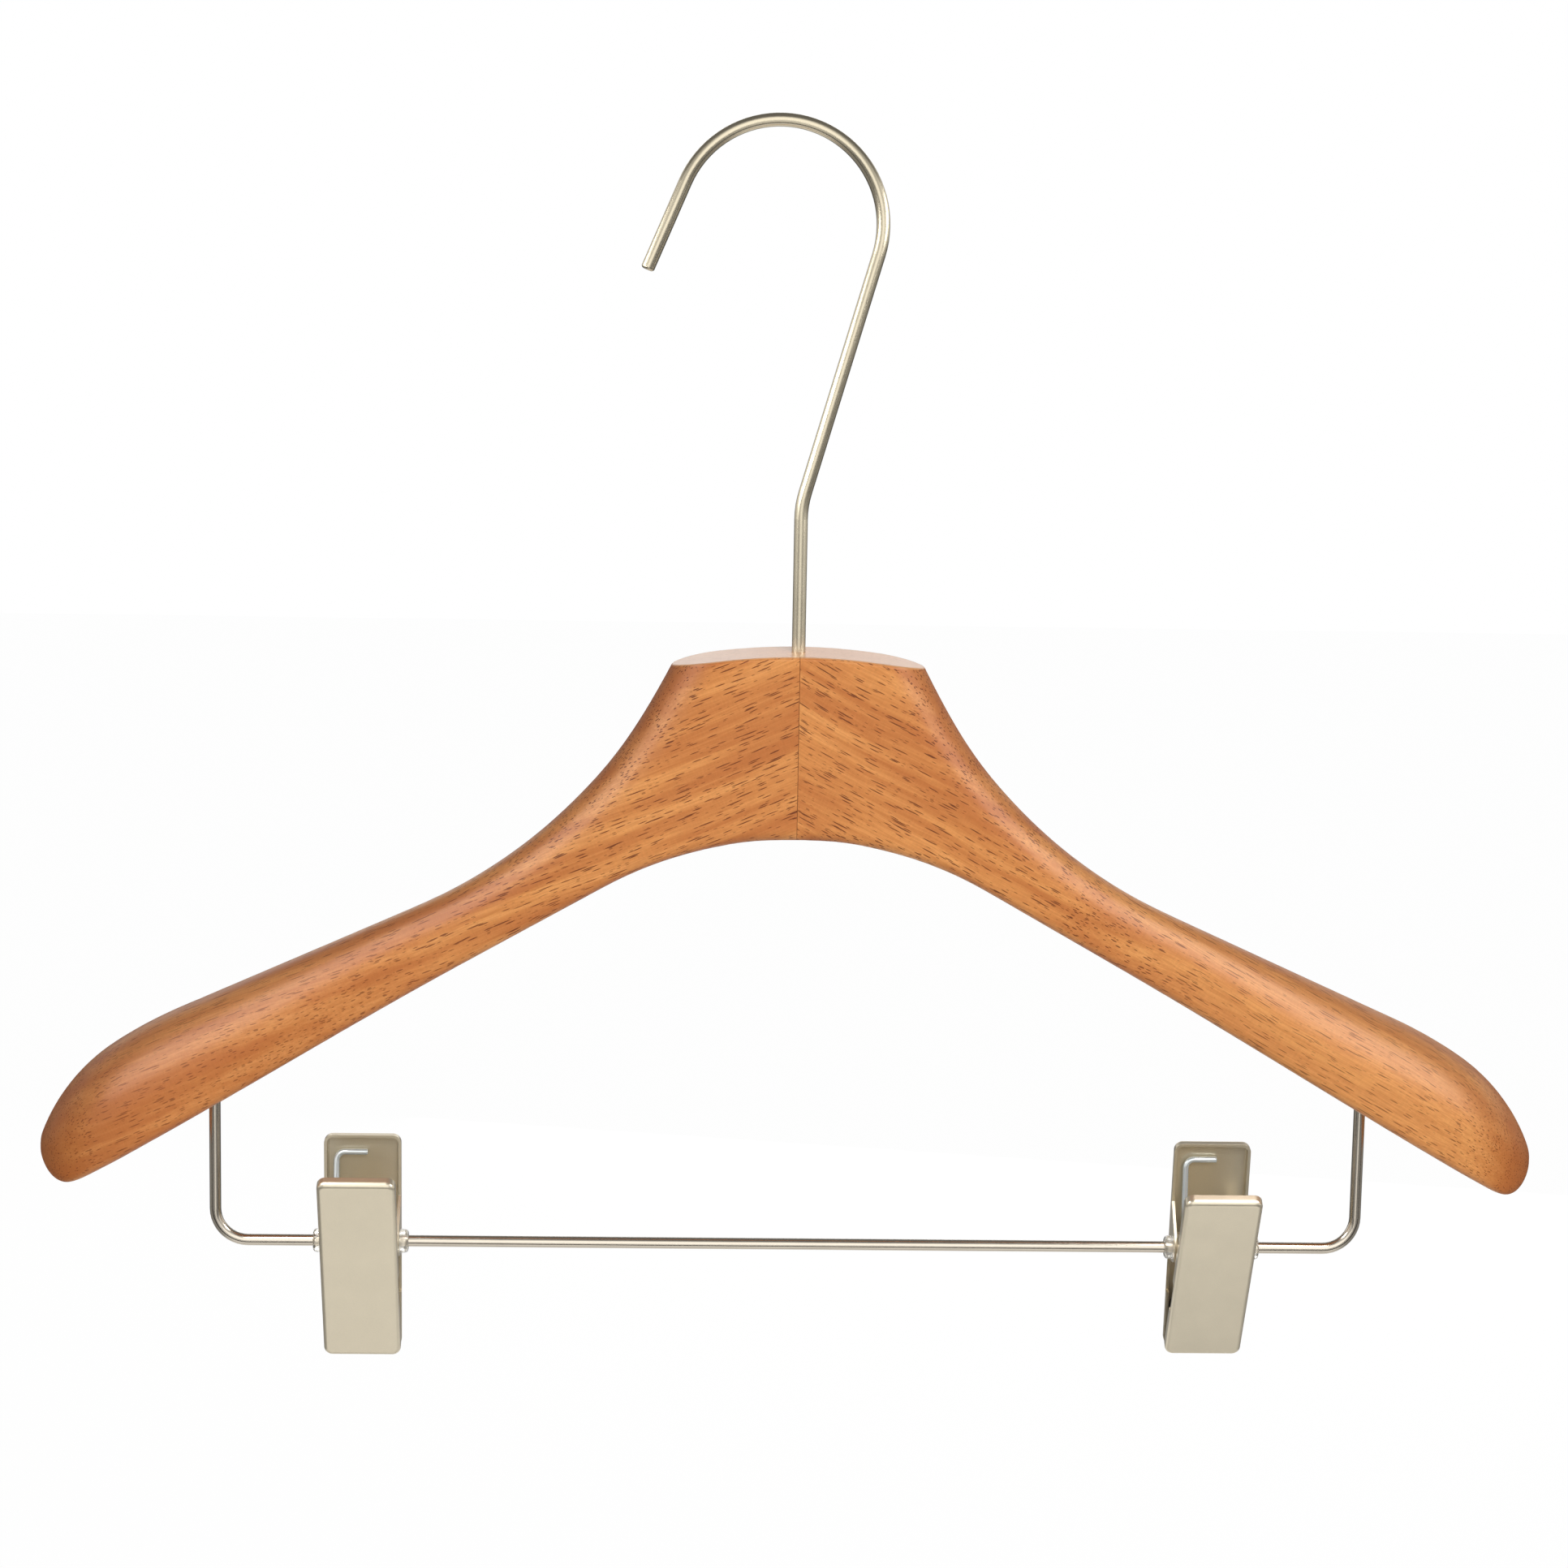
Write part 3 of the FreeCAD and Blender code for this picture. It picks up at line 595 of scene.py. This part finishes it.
# Jaw pads, in millimetres: moulded rubber with grip grooves, one in each plate
pad = {
    "width": 17.6,
    "length": 12.0,
    "bottom": -30.85,                  # lower end, from the pivot
    "back": 0.8,                       # from the plate's face
    "grip": 3.4,
    "corner": 1.2,
    "cornerSteps": 5,
    "grooves": 4,
    "groove": 0.5,                     # depth and half width
    "softEdge": 0.14,
    "softSteps": 2,
    "softAngle": 35.0,
    "colour": srgb(52, 46, 41),
    "dust": srgb(96, 88, 80),
    "dusty": (3, 3, 3),                # patches of dust, and how much of it
    "dustFrom": (0.5, 0.8),
    "dustShare": 0.35,
    "grain": (0.25, 0.25, 0.25),
    "grainRelief": 0.4,
    "grainDepth": 0.06,
    "grainRoughness": 0.2,
    "roughness": 0.62,
}
plates = {
    "standOff": 9.5,                   # from the pivot to a plate's face
    "jawGap": 0.32,                    # between the shut pads
}


def plateLean():
    inwards = plates["standOff"] - pad["grip"]
    reach = math.hypot(inwards, pad["bottom"])
    return math.acos(plates["jawGap"] / 2 / reach) - math.atan2(-pad["bottom"], inwards)


def onBar(side):  # from a clip's own pivot, upright, to its place and turn on the bar
    pivot = called(frame["joints"], side + "_jaw_open")["pos_m"]
    grip = called(frame["record"]["mounts"], side + "_clip_grip")["axis"]
    swing = math.atan2(grip[1], -grip[2])
    return Matrix.Translation(pivot) @ Matrix.Rotation(swing, 4, "X") @ Matrix.Scale(mm, 4)


def padMaterial():
    tree = newMaterial("padRubber")
    spot = tree.place()
    grain = tree.noise(spot, pad["grain"], detail=3.0)
    dust = tree.noise(spot, pad["dusty"], detail=3.0)
    colour = tree.mix(dust.ramp(*pad["dustFrom"]) * pad["dustShare"], pad["colour"], pad["dust"])
    return tree.surface(
        Base_Color=colour, Roughness=pad["roughness"] + grain * pad["grainRoughness"],
        Normal=tree.bump(grain, pad["grainRelief"], pad["grainDepth"]))


def cutGrooves(bm):
    for number in range(pad["grooves"]):
        middle = pad["bottom"] + pad["length"] * (number + 1) / (pad["grooves"] + 1)
        for height in (middle - pad["groove"], middle + pad["groove"], middle):
            cut = bmesh.ops.bisect_plane(
                bm, geom=bm.verts[:] + bm.edges[:] + bm.faces[:], plane_co=(0, 0, height),
                plane_no=(0, 0, 1))
        valley = [part for part in cut["geom_cut"] if isinstance(part, bmesh.types.BMVert)
                  and part.co.y > pad["grip"] - pad["groove"]]
        bmesh.ops.translate(bm, verts=valley, vec=(0, -pad["groove"], 0))


def makePad(side, facing, material):
    size = (pad["width"], pad["grip"] - pad["back"], pad["length"])
    bm = bmesh.new()
    bmesh.ops.create_cube(bm, size=1, matrix=Matrix.Diagonal((*size, 1)))
    bmesh.ops.translate(
        bm, verts=bm.verts, vec=(0, (pad["grip"] + pad["back"]) / 2, pad["bottom"] + pad["length"] / 2))
    corners = [edge for edge in bm.edges if abs(edge.verts[0].co.y - edge.verts[1].co.y) > size[1] / 2]
    bmesh.ops.bevel(
        bm, geom=corners, offset=pad["corner"], offset_type="OFFSET", segments=pad["cornerSteps"],
        profile=0.5, affect="EDGES", material=-1)
    cutGrooves(bm)
    bmesh.ops.recalc_face_normals(bm, faces=bm.faces)
    lean = Matrix.Rotation(plateLean(), 4, "X")
    turn = Matrix.Rotation(0 if facing == "front" else math.pi, 4, "Z")
    moved = onBar(side) @ turn @ lean @ Matrix.Translation((0, -plates["standOff"], 0))
    bmesh.ops.transform(bm, matrix=moved, verts=bm.verts)
    piece = addPiece(side + "Clip" + facing.capitalize() + "Pad", bm)
    soften = piece.modifiers.new("soften", "BEVEL")
    soften.width = pad["softEdge"] * mm
    soften.segments = pad["softSteps"]
    soften.limit_method = "ANGLE"
    soften.angle_limit = math.radians(pad["softAngle"])
    dress(piece, material)
    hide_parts(side + "_clip_" + facing + "_pad")
    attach(piece, side + "_clip_" + facing)


rubber = padMaterial()
for side in ("left", "right"):
    makePad(side, "front", rubber)
    makePad(side, "rear", rubber)
print("pads done")

# Torsion spring, in millimetres: a coil round the bar with a straight leg and a bent end to each plate
spring = {
    "wire": 1.6,
    "radius": 2.9,
    "length": 13.8,
    "turns": 6,
    "leg": 22.0,
    "foot": 8.2,
    "bend": 2.2,
    "standOff": 7.6,                   # of the bent ends from the pivot, towards the plates
    "sides": 18,
    "stepsPerTurn": 30,
    "bendSteps": 8,
    "endRound": 0.25,
    "endSteps": 2,
}


def ringOf(made):  # the open ring of edges at the end of what an operator made
    points = {part for part in made if isinstance(part, bmesh.types.BMVert)}
    edges = [part for part in made if isinstance(part, bmesh.types.BMEdge)]
    return [edge for edge in edges if points.issuperset(edge.verts)]


def pointsOf(edges):  # each point once, in the order of the edges
    return list(dict.fromkeys(point for edge in edges for point in edge.verts))


def middleOf(edges):
    points = pointsOf(edges)
    return sum((point.co for point in points), Vector()) / len(points)


def carryOn(bm, ring, way):
    ring = ringOf(bmesh.ops.extrude_edge_only(bm, edges=ring)["geom"])
    bmesh.ops.translate(bm, verts=pointsOf(ring), vec=way)
    return ring


def makeLeg(bm, ring, along, foot, length):
    ring = carryOn(bm, ring, along * (length - spring["bend"]))
    spun = bmesh.ops.spin(
        bm, geom=pointsOf(ring) + ring, cent=middleOf(ring) + foot * spring["bend"],
        axis=along.cross(foot), angle=math.pi / 2, steps=spring["bendSteps"])
    ring = carryOn(bm, ringOf(spun["geom_last"]), foot * (spring["foot"] - spring["bend"]))
    bmesh.ops.edgeloop_fill(bm, edges=ring)
    bmesh.ops.bevel(
        bm, geom=ring, offset=spring["endRound"], offset_type="OFFSET", segments=spring["endSteps"],
        profile=0.5, affect="EDGES", material=-1)


def inOrder(parts, key):  # sorts points or faces, whose order after spin and bevel varies from run to run
    ranks = {part: number for number, part in enumerate(sorted(parts, key=key))}
    parts.sort(key=ranks.get)
    parts.index_update()


def makeSpring(side):
    lean = plateLean()
    seatY = spring["standOff"] * math.cos(lean) + spring["leg"] * math.sin(lean)
    seatZ = spring["leg"] * math.cos(lean) - spring["standOff"] * math.sin(lean)
    radius = spring["radius"]
    away = math.hypot(seatY, seatZ)
    first = math.atan2(seatZ, seatY) - math.acos(radius / away)
    sweep = spring["turns"] * 2 * math.pi + math.pi + 2 * first
    steps = round(sweep / (2 * math.pi) * spring["stepsPerTurn"])
    legLength = math.sqrt(away ** 2 - radius ** 2)
    along = Vector((1, 0, 0))
    outward = Vector((0, math.cos(first), math.sin(first)))
    rearWay = Vector((0, -math.sin(first), math.cos(first)))
    frontWay = Vector((0, math.sin(first), math.cos(first)))
    start = Matrix((along, outward, -rearWay)).transposed().to_4x4()
    start.translation = outward * radius - along * spring["length"] / 2
    bm = bmesh.new()
    bmesh.ops.create_circle(bm, segments=spring["sides"], radius=spring["wire"] / 2, matrix=start)
    rearRing = bm.edges[:]
    spun = bmesh.ops.spin(
        bm, geom=bm.verts[:] + rearRing, axis=along, dvec=along * spring["length"] / steps,
        angle=-sweep, steps=steps)
    frontRing = ringOf(spun["geom_last"])
    makeLeg(bm, rearRing, rearWay, along, legLength)
    makeLeg(bm, frontRing, frontWay, -along, legLength)
    bmesh.ops.recalc_face_normals(bm, faces=bm.faces)
    bmesh.ops.transform(bm, matrix=onBar(side), verts=bm.verts)
    inOrder(bm.verts, lambda point: point.co[:])
    inOrder(bm.faces, lambda face: sorted(point.index for point in face.verts))
    for face in bm.faces:
        face.smooth = True
    piece = addPiece(side + "ClipSpring", bm)
    dress(piece, steel["spring"])
    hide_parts(side + "_clip_spring")
    ends = [onBar(side) @ Vector((0, way * radius, 0)) for way in (1, -1)]
    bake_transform(piece)


for side in ("left", "right"):
    makeSpring(side)
print("springs done")
